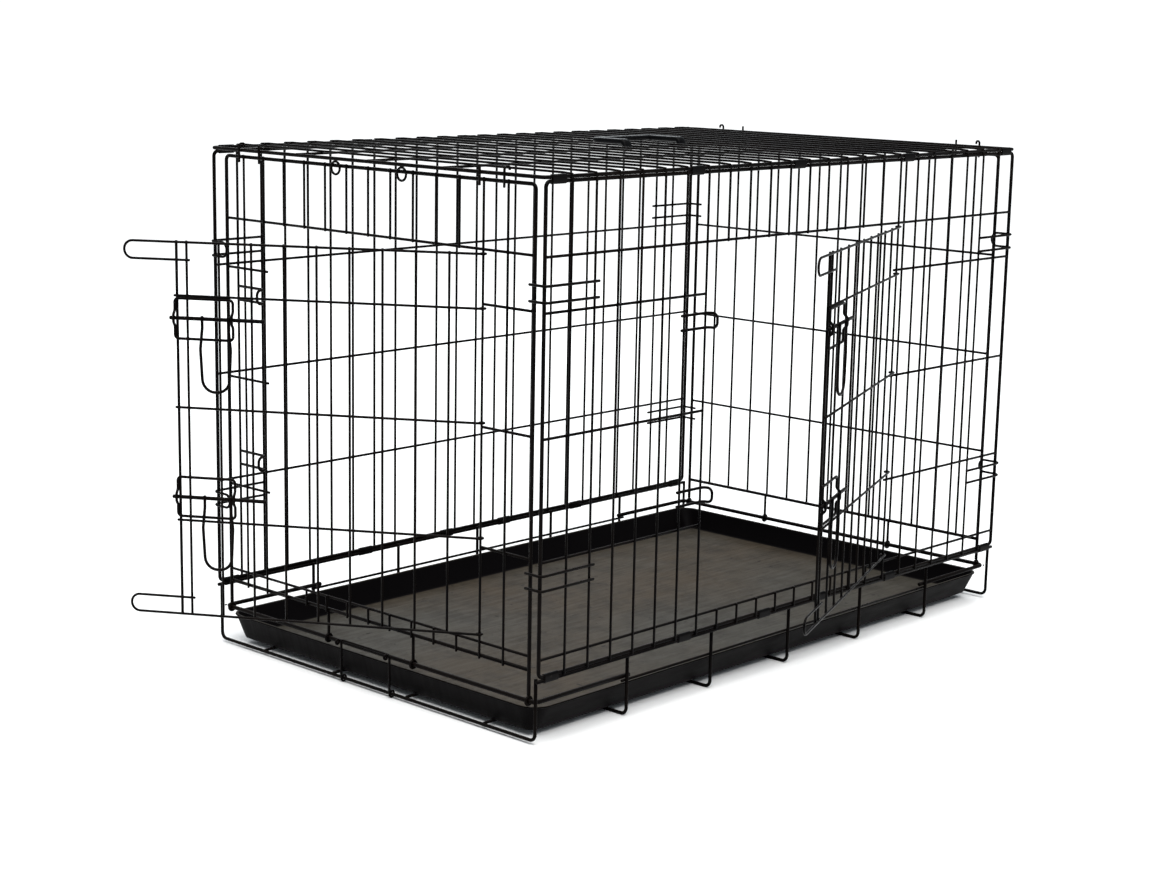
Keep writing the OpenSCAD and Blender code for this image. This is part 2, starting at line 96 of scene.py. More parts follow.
# Long sides and top panel
SIDE_TOP_Z = 628.0
BASE_RAIL_Z = 75.0
SIDE_BOTTOM_Z = BASE_RAIL_Z + FRAME_D + 0.6
TOP_Z = SIDE_TOP_Z + FRAME_D + 0.6
CROSS_Z = TOP_Z + BAR_OUT
TOP_LONG_YS = (-127, 0, 127)
RAIL_ZS = (211, 349, 487)
HEADER_Z = 547.6
SILL_Z = 100.0
KEEPER_ZS = ((517, 499), (197, 180))
KEEPER_HOOK_Y = 266
KEEPER_LOOP_Y = 258
HOOK_CELLS = (-6, -5, 5, 6)
HOOK_BOTTOM_Z = 618
HOOK_TOP_Z = TOP_Z + 8

# Folded clips, by the wire space that they sit in
TOP_CLIP_CELLS = (0.5, 6.5, 11.5, 17.5, 23.5)
BOTTOM_CLIP_CELLS = (0.5, 6.5, 10.5, 13.5, 17.5, 23.5)
CLIP_HALF_L = 11.0
CLIP_WALL = 0.9
CLIP_GAP = 0.2
CLIP_SLIT = 0.9

# Base
LEG_Y = SIDE_Y - FRAME_D + WELD
LEG_STEP = 4 * PITCH
LEG_TOP_Z = BASE_RAIL_Z + OVERHANG
LEG_BEND_R = 8.0
END_LEG_LIFT = 3.0
END_BAR_Z = 48.0
END_BAR_X = SIDE_X - (FRAME_D + END_BAR_D) / 2 + WELD
END_BAR_Y = LEG_Y - (FRAME_D + END_BAR_D) / 2 + WELD
END_BAR_STOP_X = SIDE_X - LEG_STEP - 9
SIDE_BAR_Z = 43.0
FLOOR_WIRE_YS = (-198, -66, 66, 198)

# End panels
END_BOTTOM_Z = 84.0
END_TOP_Z = 624.0
END_PLANE = END_BAR_X + BAR_OUT
TOP_END_X = END_PLANE + BAR_D / 2 + FRAME_D / 2 + 0.45
HINGE_GAP = 0.35
EYE_R = (END_BAR_D + EYE_D) / 2 + HINGE_GAP
PULL_RING_R = 7.5

# Doors
FRONT_DOOR_OPEN = 32.5
SIDE_DOOR_OPEN = 22.5
DOOR_W = 355.0
DOOR_LOOP = 61.0
DOOR_TOP_Z = 543.0
DOOR_BOTTOM_Z = 110.0
DOOR_RAIL_OUT = (BAR_D + RAIL_D) / 2 + HINGE_GAP
DOOR_BAR_OUT = DOOR_RAIL_OUT - (BAR_D + RAIL_D) / 2 + WELD
DOOR_EDGE_OUT = DOOR_RAIL_OUT - RAIL_D + WELD
DOOR_RAIL_ZS = [222, 354, 482.5]
DOOR_WELD_ZS = [DOOR_BOTTOM_Z, DOOR_TOP_Z] + DOOR_RAIL_ZS

# Latches
BOLT_ZS = {"lower": 249.5, "upper": 457.0}
BOLT_L = 113.0
BOLT_OUT = DOOR_BAR_OUT + (BAR_D + BOLT_D) / 2 + 0.3
PADDLE_DROP = 83.0
PADDLE_W = 31.0
GUIDE_TOPS = {"lower": 272.8, "upper": 479.4}
GUIDE_H = 46.0
GUIDE_W = 69.0
RECEIVER_NOSE_OUT = 15.0
RECEIVER_HALF_H = 8.5

# Tray and its stop
TRAY_HALF_X = 453.0
TRAY_HALF_Y = 277.0
TRAY_TOP_Z = 39.2
TRAY_BOTTOM_Z = 7.2
TRAY_WALL = 2.2
TRAY_SLOPE_X = 8.0
TRAY_SLOPE_Y = 14.0
TRAY_CORNER_R = 26.0
STOP_HALF_W = 43.5
STOP_TOP_Z = 53.5
STOP_R = (FRAME_D + STOP_D) / 2 + 0.3
STOP_CURL_R = 3.0

# Carry handle
HANDLE_X = 43.0
HANDLE_HALF_L = 61.5
HANDLE_REACH = 62.0
HANDLE_HINGE_Z = TOP_Z + RAIL_OUT
HANDLE_MID_Z = CROSS_Z + BAR_D / 2 + 0.4 + 4.0
HANDLE_GRIP_W = 13.0
HANDLE_ARM_W = 15.0
HANDLE_FOOT_D = 8.6


# ---------------------------------------------------------------- wire work
TUBE_SIDES = 12
ARC_STEP = math.radians(15)
RING_STEPS = 20


def polar(radius, degrees):
    """A point on a circle round the origin."""
    return radius * math.cos(math.radians(degrees)), radius * math.sin(math.radians(degrees))


def arc_corner(before, corner, after, radius):
    """Points of the bend that rounds one corner of a wire."""
    into = (corner - before).normalized()
    out = (after - corner).normalized()
    turn = into.angle(out)
    if turn < 0.01:
        return [corner]
    cut = min(radius * math.tan(turn / 2), 0.499 * (corner - before).length, 0.499 * (after - corner).length)
    radius = cut / math.tan(turn / 2)
    start = corner - into * cut
    inward = (out - into * into.dot(out)).normalized()
    centre = start + inward * radius
    steps = max(2, math.ceil(turn / ARC_STEP))
    angles = [turn * i / steps for i in range(steps + 1)]
    return [centre - inward * radius * math.cos(a) + into * radius * math.sin(a) for a in angles]


def bent_line(points, radius, closed=False):
    """Centreline of a wire through the points, with rounded corners."""
    points = [Vector(p) for p in points]
    count = len(points)
    line = []
    for i, point in enumerate(points):
        if not closed and i in (0, count - 1):
            line.append(point)
        else:
            line += arc_corner(points[i - 1], point, points[(i + 1) % count], radius)
    return line


class Piece:
    """Collects the wires, weld marks and sheets of one visible piece, in its panel's own frame."""

    def __init__(self, node, place=Matrix.Identity(4), coating=COATING):
        self.node = node
        self.place = place
        self.coating = coating
        self.verts = []
        self.faces = []

    def add(self, verts, faces):
        first = len(self.verts)
        self.verts += [self.place @ Vector(v) for v in verts]
        self.faces += [[first + i for i in face] for face in faces]

    def tube(self, line, d, closed=False, sides=TUBE_SIDES):
        """A round wire along a centreline, with slightly worn sheared ends."""
        line = [Vector(p) for p in line]
        count = len(line)
        if closed:
            ways = [(line[(i + 1) % count] - line[i - 1]).normalized() for i in range(count)]
        else:
            ways = [(line[min(i + 1, count - 1)] - line[max(i - 1, 0)]).normalized() for i in range(count)]
        side = ways[0].orthogonal().normalized()
        rings = []
        for point, way in zip(line, ways):
            side = (side - way * side.dot(way)).normalized()
            rings.append((point, way, side, d / 2))
        if not closed:
            chamfer = 0.16 * d
            start, way, side, _ = rings[0]
            end, end_way, end_side, _ = rings[-1]
            rings[0] = (start + way * chamfer, way, side, d / 2)
            rings[-1] = (end - end_way * chamfer, end_way, end_side, d / 2)
            rings.insert(0, (start, way, side, d / 2 - chamfer))
            rings.append((end, end_way, end_side, d / 2 - chamfer))
        verts = []
        for point, way, side, radius in rings:
            other = way.cross(side)
            for k in range(sides):
                a = math.tau * k / sides
                verts.append(point + (side * math.cos(a) + other * math.sin(a)) * radius)
        faces = []
        ring_count = len(rings)
        twist = 0
        if closed:  # the last ring is turned to meet the first one
            last = rings[-1]
            carried = (last[2] - ways[0] * last[2].dot(ways[0])).normalized()
            angle = math.atan2(carried.dot(ways[0].cross(rings[0][2])), carried.dot(rings[0][2]))
            twist = round(angle / math.tau * sides)
        for i in range(ring_count if closed else ring_count - 1):
            shift = twist if closed and i == ring_count - 1 else 0
            a, b = i * sides, ((i + 1) % ring_count) * sides
            for k in range(sides):
                n = (k + 1) % sides
                faces.append((a + k, a + n, b + (n + shift) % sides, b + (k + shift) % sides))
        if not closed:
            faces.append(tuple(reversed(range(sides))))
            faces.append(tuple(range((ring_count - 1) * sides, ring_count * sides)))
        self.add(verts, faces)

    def wire(self, points, d, bend=0.0, closed=False):
        """A coated wire through the points, with rounded corners."""
        self.tube(bent_line(points, bend, closed) if bend else points, d + self.coating, closed)

    def ring(self, centre, normal, radius, d):
        """A closed wire ring that stands upright, round a level normal."""
        up = Vector((0, 0, 1))
        across = up.cross(Vector(normal))
        angles = [math.tau * i / RING_STEPS for i in range(RING_STEPS)]
        line = [Vector(centre) + (across * math.cos(a) + up * math.sin(a)) * radius for a in angles]
        self.tube(line, d + self.coating, closed=True)

    def weld(self, at, size):
        """The small squeezed bead of a resistance weld where two wires cross."""
        rows, cols = 4, 8
        tall, deep = 0.62 * size, 0.55
        verts = [(at[0], at[1], at[2] + tall)]
        for r in range(1, rows):
            a = math.pi * r / rows
            for c in range(cols):
                b = math.tau * c / cols
                spread = size * math.sin(a)
                verts.append((at[0] + spread * math.cos(b), at[1] + deep * spread * math.sin(b),
                              at[2] + tall * math.cos(a)))
        verts.append((at[0], at[1], at[2] - tall))
        faces = [(0, 1 + c, 1 + (c + 1) % cols) for c in range(cols)]
        for r in range(rows - 2):
            for c in range(cols):
                a, b = 1 + r * cols + c, 1 + r * cols + (c + 1) % cols
                faces.append((a, a + cols, b + cols, b))
        tail = len(verts) - 1
        base = 1 + (rows - 2) * cols
        faces += [(tail, base + (c + 1) % cols, base + c) for c in range(cols)]
        self.add(verts, faces)

    def finish(self, material, soften=0.0):
        """Makes the Blender object, which stands for the node and rides on its body."""
        mesh = bpy.data.meshes.new(self.node + "_look")
        mesh.from_pydata([v * MM for v in self.verts], [], self.faces)
        mesh.validate()
        mesh.polygons.foreach_set("use_smooth", [True] * len(mesh.polygons))
        mesh.set_sharp_from_angle(angle=math.radians(46))
        mesh.materials.append(material)
        piece = bpy.data.objects.new(self.node + "_look", mesh)
        bpy.context.scene.collection.objects.link(piece)
        if soften:
            bevel = piece.modifiers.new("soft_edges", "BEVEL")
            bevel.width = soften * MM
            bevel.segments = 2
            bevel.limit_method = "ANGLE"
            bevel.angle_limit = math.radians(38)
        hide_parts(self.node)
        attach(piece, NODE_BODY[self.node])
        return piece


def turned(degrees):
    return Matrix.Rotation(math.radians(degrees), 4, "Z")


NEAR_SIDE = turned(0)
FAR_SIDE = turned(180)
FRONT_END = turned(-90)
REAR_END = turned(90)


def side_doorway(open_angle):
    return Matrix.Translation((DOOR_HALF, -(SIDE_Y + BAR_OUT), 0)) @ turned(open_angle)


def front_doorway(open_angle):
    return FRONT_END @ Matrix.Translation((DOOR_HALF, -END_PLANE, 0)) @ turned(open_angle)


# ---------------------------------------------------------------- materials
class Nodes:
    """Short way to build a material's node tree."""

    def __init__(self, name):
        self.material = bpy.data.materials.new(name)
        self.material.use_nodes = True
        self.tree = self.material.node_tree
        self.shader = self.tree.nodes["Principled BSDF"]

    def node(self, kind, inputs=None, **settings):
        made = self.tree.nodes.new(kind)
        for key, value in settings.items():
            setattr(made, key, value)
        for key, value in (inputs or {}).items():
            self.feed(made.inputs[key], value)
        return made

    def feed(self, socket, value):
        if isinstance(value, bpy.types.NodeSocket):
            self.tree.links.new(value, socket)
        else:
            socket.default_value = value

    def noise(self, where, scale, detail=3.0, roughness=0.5):
        return self.node("ShaderNodeTexNoise", {"Vector": where, "Scale": scale, "Detail": detail,
                                                "Roughness": roughness}).outputs["Fac"]

    def spread(self, value, low, high, to_low=0.0, to_high=1.0):
        return self.node("ShaderNodeMapRange", {"Value": value, "From Min": low, "From Max": high,
                                                "To Min": to_low, "To Max": to_high}).outputs["Result"]

    def mix(self, factor, a, b):
        made = self.node("ShaderNodeMix", data_type="RGBA")
        self.feed(made.inputs["Factor"], factor)
        self.feed(made.inputs[6], a)
        self.feed(made.inputs[7], b)
        return made.outputs[2]

    def bump(self, height, strength, distance, normal=None):
        inputs = {"Height": height, "Strength": strength, "Distance": distance}
        if normal is not None:
            inputs["Normal"] = normal
        return self.node("ShaderNodeBump", inputs).outputs["Normal"]

    def place(self):
        return self.node("ShaderNodeNewGeometry").outputs["Position"]

    def local(self):
        return self.node("ShaderNodeTexCoord").outputs["Object"]

    def stretched(self, where, scale):
        return self.node("ShaderNodeMapping", {"Vector": where, "Scale": scale}).outputs["Vector"]

    def upward(self):
        """How far the surface faces up."""
        normal = self.node("ShaderNodeNewGeometry").outputs["Normal"]
        return self.node("ShaderNodeSeparateXYZ", {"Vector": normal}).outputs["Z"]

    def surface(self, color, roughness, specular, normal=None):
        """Feeds the finished looks to the shader."""
        self.feed(self.shader.inputs["Base Color"], color)
        self.feed(self.shader.inputs["Roughness"], roughness)
        self.feed(self.shader.inputs["Specular IOR Level"], specular)
        if normal is not None:
            self.feed(self.shader.inputs["Normal"], normal)
        return self.material


def black_wire_material():
    """Dipped satin-black coating: brownish where thin, orange peel, dusty spots, and upper sides painted
    lighter as a painted highlight.
    """
    n = Nodes("black_wire")
    where = n.local()
    broad = n.noise(where, 9.0, 2.0)
    patches = n.noise(where, 55.0, 4.0, 0.6)
    peel = n.noise(where, 900.0, 2.0)
    runs = n.noise(where, 230.0, 3.0)
    thin = n.mix(n.spread(broad, 0.35, 0.7), (0.0008, 0.0007, 0.0009, 1), (0.003, 0.0019, 0.0015, 1))
    dusty = n.mix(n.spread(patches, 0.62, 0.8, 0.0, 0.35), thin, (0.02, 0.0165, 0.015, 1))
    # Painted highlight: up-facing sides are mixed towards a lighter colour, standing in for the bright sky
    # reflected on the wires' tops.
    dust_and_top_sheen = n.mix(n.spread(n.upward(), 0.3, 0.95, 0.0, 0.7), dusty, (0.013, 0.0105, 0.0095, 1))
    relief = n.bump(peel, 0.25, 0.0001, n.bump(runs, 0.35, 0.0003))
    return n.surface(dust_and_top_sheen, n.spread(patches, 0.3, 0.8, 0.22, 0.45), 0.03, relief)


def black_clip_material():
    """Blackened sheet steel: faint rolling grain along the clip and brighter rubbed spots."""
    n = Nodes("black_clip")
    where = n.local()
    grain = n.noise(n.stretched(where, (40.0, 900.0, 900.0)), 1.0, 3.0)
    rubbed = n.noise(where, 160.0, 4.0, 0.65)
    dark = n.mix(grain, (0.0012, 0.0011, 0.0013, 1), (0.0036, 0.003, 0.0029, 1))
    worn = n.mix(n.spread(rubbed, 0.66, 0.78, 0.0, 0.5), dark, (0.03, 0.026, 0.024, 1))
    return n.surface(worn, n.spread(rubbed, 0.3, 0.75, 0.34, 0.52), 0.04, n.bump(grain, 0.2, 0.00012))


def tray_material():
    """Black moulded plastic: fine texture, and a floor with streaks, stains, dusty film, flecks and claw
    scuffs; the floor is painted lighter than the walls, partly dusty film and partly a painted sheen.
    """
    n = Nodes("tray_plastic")
    where = n.local()
    streaks = n.noise(n.stretched(where, (4.0, 42.0, 1.0)), 3.0, 5.0, 0.65)
    fine = n.noise(n.stretched(where, (9.0, 240.0, 9.0)), 2.0, 3.0)
    cloud = n.noise(where, 5.0, 4.0, 0.55)
    leather = n.noise(where, 700.0, 3.0, 0.6)
    mottle = n.noise(where, 24.0, 6.0, 0.75)
    flecks = n.noise(where, 62.0, 3.0, 0.7)
    stain = n.noise(where, 2.6, 3.0, 0.5)
    grit = n.node("ShaderNodeTexVoronoi", {"Vector": where, "Scale": 160.0}).outputs["Distance"]
    # Up-facing mask: the floor gets the lighter colours, partly dusty film and partly a painted sheen, while
    # the walls stay plain black.
    flat = n.spread(n.upward(), 0.75, 0.98)
    plain = n.mix(cloud, (0.0006, 0.0003, 0.0004, 1), (0.0022, 0.0015, 0.0019, 1))
    # Lighter floor colour with stains: partly dusty film, partly a painted sheen standing in for the floor's
    # bright reflection.
    dust_and_sheen = n.mix(n.spread(stain, 0.38, 0.62), (0.05, 0.038, 0.026, 1), (0.05, 0.0465, 0.0395, 1))
    mottled = n.mix(n.spread(mottle, 0.45, 0.62, 0.0, 0.6), dust_and_sheen, (0.021, 0.0175, 0.014, 1))
    streaked = n.mix(n.spread(streaks, 0.35, 0.72, 0.0, 0.16), mottled, (0.022, 0.018, 0.013, 1))
    scuffed = n.mix(n.spread(fine, 0.55, 0.78, 0.0, 0.16), streaked, (0.066, 0.058, 0.046, 1))
    spotted = n.mix(n.spread(flecks, 0.64, 0.72, 0.0, 0.85), scuffed, (0.006, 0.0045, 0.004, 1))
    gritty = n.mix(n.spread(grit, 0.06, 0.14, 0.4, 0.0), spotted, (0.013, 0.011, 0.008, 1))
    relief = n.bump(leather, 0.3, 0.00025, n.bump(cloud, 0.25, 0.002))
    return n.surface(n.mix(flat, plain, gritty), n.spread(streaks, 0.3, 0.7, 0.42, 0.6), 0.045, relief)


def handle_material():
    """Glossy black moulded plastic with shallow moulding marks and light scratches."""
    n = Nodes("handle_plastic")
    where = n.local()
    cloud = n.noise(where, 60.0, 3.0)
    scratches = n.noise(n.stretched(where, (500.0, 22.0, 500.0)), 1.0, 4.0, 0.7)
    leather = n.noise(where, 1100.0, 2.0)
    base = n.mix(cloud, (0.0015, 0.0015, 0.0018, 1), (0.0042, 0.0041, 0.0046, 1))
    worn = n.mix(n.spread(scratches, 0.6, 0.78, 0.0, 0.4), base, (0.022, 0.022, 0.024, 1))
    return n.surface(worn, n.spread(scratches, 0.3, 0.75, 0.25, 0.45), 0.05, n.bump(leather, 0.2, 0.00015))


WIRE = black_wire_material()
CLIP = black_clip_material()
TRAY = tray_material()
HANDLE = handle_material()


# ---------------------------------------------------------------- base
def base_legs():
    p = Piece("base_legs", coating=THIN_COATING)
    for i in range(-3, 4):
        z = FRAME_D / 2 + (END_LEG_LIFT if abs(i) == 3 else 0)
        x = i * LEG_STEP
        p.wire([(x, -LEG_Y, LEG_TOP_Z), (x, -LEG_Y, z), (x, LEG_Y, z), (x, LEG_Y, LEG_TOP_Z)],
               FRAME_D, LEG_BEND_R)
        for side in (-1, 1):
            p.weld((x, side * (LEG_Y + FRAME_D / 2), BASE_RAIL_Z), 1.9)
    return p.finish(WIRE)


def base_rails():
    p = Piece("base_rails")
    reach = SIDE_X + OVERHANG
    for side in (-1, 1):
        p.wire([(-reach, side * SIDE_Y, BASE_RAIL_Z), (reach, side * SIDE_Y, BASE_RAIL_Z)], FRAME_D)
    return p.finish(WIRE)


def base_end_bars():
    p = Piece("base_end_bars")
    for end in (-1, 1):
        stop, x, z = end * END_BAR_STOP_X, end * END_BAR_X, END_BAR_Z
        p.wire([(stop, -END_BAR_Y, z), (x, -END_BAR_Y, z), (x, END_BAR_Y, z), (stop, END_BAR_Y, z)],
               END_BAR_D, LEG_BEND_R)
        for side in (-1, 1):
            for leg_x in (x, end * 2 * LEG_STEP):
                p.weld((leg_x, side * (END_BAR_Y + END_BAR_D / 2 - 0.3), z), 1.9)
    return p.finish(WIRE)


def base_side_bars():
    p = Piece("base_side_bars")
    y, z = LEG_Y - (FRAME_D + RAIL_D) / 2 + WELD, SIDE_BAR_Z
    reach = 2 * LEG_STEP + 6
    for side in (-1, 1):
        p.wire([(-reach, side * y, z), (reach, side * y, z)], RAIL_D)
        for i in range(-2, 3):
            p.weld((i * LEG_STEP, side * (y + RAIL_D / 2), z), 1.5)
    return p.finish(WIRE)


def base_floor_wires():
    p = Piece("base_floor_wires")
    reach = SIDE_X - RAIL_STOP
    z = FRAME_D + FLOOR_WIRE_D / 2 - WELD
    for y in FLOOR_WIRE_YS:
        p.wire([(-reach, y, z), (reach, y, z)], FLOOR_WIRE_D)
        for i in range(-2, 3):
            p.weld((i * LEG_STEP, y, z - FLOOR_WIRE_D / 2), 1.5)
    return p.finish(WIRE)


# ---------------------------------------------------------------- panels
def side_frame(node, place):
    p = Piece(node, place)
    x, y, low, high = SIDE_X, -SIDE_Y, SIDE_BOTTOM_Z, SIDE_TOP_Z
    p.wire([(-x, y, low), (x, y, low), (x, y, high), (-x, y, high)], FRAME_D, CORNER_R, closed=True)
    return p.finish(WIRE)


def end_frame(node, place):
    """An end panel's outline: posts that run down to the hinge eyes, and a wire between them at the foot."""
    p = Piece(node, place)
    foot = END_BAR_Z + EYE_R + EYE_D / 2 - WELD
    x, y, inner = END_Y, -END_BAR_X, END_Y - RAIL_STOP
    p.wire([(-x, y, foot), (-x, y, END_TOP_Z), (x, y, END_TOP_Z), (x, y, foot)], FRAME_D, CORNER_R)
    p.wire([(-inner, y, END_BOTTOM_Z), (inner, y, END_BOTTOM_Z)], FRAME_D)
    for side in (-1, 1):
        p.weld((side * inner, y, END_BOTTOM_Z), 2.4)
    return p.finish(WIRE)


def panel_bars(node, place, cells, plane, low, high, doorway):
    """Uprights at every wire space, with a weld mark at each wire they cross."""
    p = Piece(node, place, COATING if doorway else THICK_COATING)
    for k in range(1, cells):
        x = (k - cells / 2) * PITCH
        spans = [(low - OVERHANG, high + OVERHANG)]
        crossed = list(RAIL_ZS)
        if doorway and abs(x) < DOOR_HALF - 1:
            spans = [(low - OVERHANG, SILL_Z + RAIL_OVERHANG), (HEADER_Z - RAIL_OVERHANG, high + OVERHANG)]
            crossed = []
        if doorway:
            crossed += [SILL_Z, HEADER_Z]
        for start, end in spans:
            p.wire([(x, -plane, start), (x, -plane, end)], BAR_D)
        for z in crossed:
            p.weld((x, -plane + BAR_D / 2 + 0.1, z), 1.55)
        for z in (low, high):
            p.weld((x, -plane + BAR_D / 2, z), 1.7)
    return p.finish(WIRE)


def panel_rails(node, place, half, plane, doorway):
    """Horizontal wires, which a doorway interrupts, and the wires over and under the doorway."""
    p = Piece(node, place)
    x = half - RAIL_STOP
    edge = DOOR_HALF - OVERHANG
    across = [SILL_Z, HEADER_Z] if doorway else []
    for z in RAIL_ZS:
        for start, end in [(-x, -edge), (edge, x)] if doorway else [(-x, x)]:
            p.wire([(start, -plane, z), (end, -plane, z)], RAIL_D)
    for z in across:
        p.wire([(-x, -plane, z), (x, -plane, z)], RAIL_D)
    for z in list(RAIL_ZS) + across:
        for side in (-1, 1):
            p.weld((side * x, -plane, z), 1.7)
    return p.finish(WIRE)


def side_keepers(node, place):
    """Pairs of wires that reach round a side's ends: open hooks at one end, a closed loop at the other."""
    p = Piece(node, place)
    x = SIDE_X + (FRAME_D + RAIL_D) / 2 + 0.3
    y = -(SIDE_Y + BAR_OUT + (BAR_D + RAIL_D) / 2 - WELD)
    inner = SIDE_X - 2 * PITCH - 5
    for high, low in KEEPER_ZS:
        for z in (high, low):
            p.wire([(-inner, y, z), (-x, y, z), (-x, -KEEPER_HOOK_Y, z)], RAIL_D, 5)
        p.wire([(inner, y, high), (x, y, high), (x, -KEEPER_LOOP_Y, high),
                (x, -KEEPER_LOOP_Y, low), (x, y, low), (inner, y, low)], RAIL_D, (high - low) / 2 - 0.1)
        for z in (high, low):
            for side in (-1, 1):
                for cell in (1, 2):
                    p.weld((side * (SIDE_X - cell * PITCH), y + RAIL_D / 2, z), 1.5)
    return p.finish(WIRE)


def receivers(node, place):
    """Catches for a door's bolts: a wire bent into an outward nose, whose prongs cross the doorway's post."""
    p = Piece(node, place)
    post = 2 * DOOR_HALF
    nose, tail = post - 4, post + PITCH + 8
    out = (BAR_D + LOOP_D) / 2 - WELD
    for z in BOLT_ZS.values():
        low, high = z - RECEIVER_HALF_H, z + RECEIVER_HALF_H
        p.wire([(-tail, -out, high), (-nose - 1.2, -out, high), (-nose, -RECEIVER_NOSE_OUT, high),
                (-nose, -RECEIVER_NOSE_OUT, low), (-nose - 1.2, -out, low), (-tail, -out, low)], LOOP_D, 7.5)
        for prong_z in (low, high):
            for x in (-post, -post - PITCH):
                p.weld((x, -out + LOOP_D / 2, prong_z), 1.6)
    return p.finish(WIRE)


def hinge_eyes(node, place, inner_cell):
    """Wire eyes round the base's heavy bar: two under the posts and two on short stems between them."""
    p = Piece(node, place)
    y, top = -END_BAR_X, END_BOTTOM_Z - FRAME_D / 2 + WELD
    for x in (-END_Y, -inner_cell * PITCH, inner_cell * PITCH, END_Y):
        if abs(x) < END_Y:
            p.wire([(x, y, END_BAR_Z + EYE_R), (x, y, top)], EYE_D)
            p.weld((x, y, top), 2.2)
        p.ring((x, y, END_BAR_Z), (1, 0, 0), EYE_R, EYE_D)
    return p.finish(WIRE)


def pull_rings():
    p = Piece("front_pull_rings", FRONT_END)
    for side in (-1, 1):
        p.ring((side * 1.5 * PITCH, -END_PLANE, END_TOP_Z - 2.5), (0, 1, 0), PULL_RING_R, BAR_D)
    return p.finish(WIRE)


# ---------------------------------------------------------------- top panel
def top_frame():
    p = Piece("top_frame")
    x, y, z = TOP_END_X, SIDE_Y, TOP_Z
    p.wire([(-x, -y, z), (x, -y, z), (x, y, z), (-x, y, z)], FRAME_D, CORNER_R, closed=True)
    return p.finish(WIRE)


def top_cross_wires():
    """Wires across the top, whose ends sink a little where they are welded on the frame."""
    p = Piece("top_cross_wires")
    end_y, bend_y, sunk_z = SIDE_Y + OVERHANG, SIDE_Y - 12, CROSS_Z - 1.0
    for k in range(1, SIDE_CELLS):
        x = (k - SIDE_CELLS / 2) * PITCH
        p.wire([(x, -end_y, sunk_z), (x, -bend_y, CROSS_Z), (x, bend_y, CROSS_Z), (x, end_y, sunk_z)],
               BAR_D, 20)
        for y in (-SIDE_Y, *TOP_LONG_YS, SIDE_Y):
            p.weld((x, y, CROSS_Z - BAR_D / 2), 1.6)
    return p.finish(WIRE)


def top_long_wires():
    p = Piece("top_long_wires")
    reach = TOP_END_X - RAIL_STOP
    for y in TOP_LONG_YS:
        p.wire([(-reach, y, TOP_Z + RAIL_OUT), (reach, y, TOP_Z + RAIL_OUT)], RAIL_D)
    return p.finish(WIRE)


def top_hooks():
    """Short wires on the top's ends that the end panels come up against; the outer ones bend over."""
    p = Piece("top_hooks")
    y = -(TOP_END_X + (FRAME_D + BAR_D) / 2 - WELD)
    low, high = HOOK_BOTTOM_Z, HOOK_TOP_Z
    for end in (FRONT_END, REAR_END):
        p.place = end
        for k in HOOK_CELLS:
            x = k * PITCH
            if abs(k) == max(HOOK_CELLS):
                p.wire([(x, y, low), (x, y, high), (x, y + 8, high), (x, y + 8, high - 4)], BAR_D, 3.5)
            else:
                p.wire([(x, y, low), (x, y, high)], BAR_D)
            p.weld((x, y + BAR_D / 2, TOP_Z), 1.6)
    return p.finish(WIRE)


def edge_clips(node, cells, low_z, high_z):
    """Folded sheet clips round two wires: a rounded C of sheet with a slit on the inside."""
    p = Piece(node)
    r = FRAME_D / 2 + CLIP_GAP + CLIP_WALL / 2
    mid = (low_z + high_z) / 2
    low_arc = [(out, low_z + up) for out, up in (polar(r, a) for a in range(0, -181, -15))]
    high_arc = [(out, high_z + up) for out, up in (polar(r, a) for a in range(180, -1, -15))]
    path = [Vector(at) for at in [(r, mid - CLIP_SLIT), *low_arc, *high_arc, (r, mid + CLIP_SLIT)]]
    last = 4 * (len(path) - 1)
    for side in (1, -1):
        for cell in cells:
            x0 = (cell - SIDE_CELLS / 2) * PITCH
            verts = []
            for i, (out, z) in enumerate(path):
                way = (path[min(i + 1, len(path) - 1)] - path[max(i - 1, 0)]).normalized()
                normal = Vector((way.y, -way.x)) * CLIP_WALL / 2
                for x in (x0 - CLIP_HALF_L, x0 + CLIP_HALF_L):
                    for sign in (-1, 1):
                        verts.append((x, side * (-SIDE_Y + out + sign * normal.x), z + sign * normal.y))
            faces = []
            for a in range(0, last, 4):
                b = a + 4
                faces += [(a, b, b + 2, a + 2), (a + 1, a + 3, b + 3, b + 1),
                          (a, a + 1, b + 1, b), (a + 2, b + 2, b + 3, a + 3)]
            faces += [(0, 2, 3, 1), (last, last + 1, last + 3, last + 2)]
            p.add(verts, faces if side > 0 else [tuple(reversed(face)) for face in faces])
    return p.finish(CLIP, soften=0.22)


# ---------------------------------------------------------------- doors and latches
def door_bars(node, place):
    """A door's uprights, with a thicker one at its free edge."""
    p = Piece(node, place)
    low, high = DOOR_BOTTOM_Z - RAIL_OVERHANG, DOOR_TOP_Z + RAIL_OVERHANG
    for k in range(1, 2 * DOOR_CELLS):
        x = -k * PITCH
        p.wire([(x, -DOOR_BAR_OUT, low), (x, -DOOR_BAR_OUT, high)], BAR_D)
        for z in DOOR_WELD_ZS:
            p.weld((x, -DOOR_BAR_OUT - BAR_D / 2, z), 1.55)
    p.wire([(-DOOR_W, -DOOR_EDGE_OUT, low), (-DOOR_W, -DOOR_EDGE_OUT, high)], RAIL_D)
    for z in DOOR_WELD_ZS:
        p.weld((-DOOR_W, -DOOR_EDGE_OUT - RAIL_D / 2, z), 1.7)
    return p.finish(WIRE)


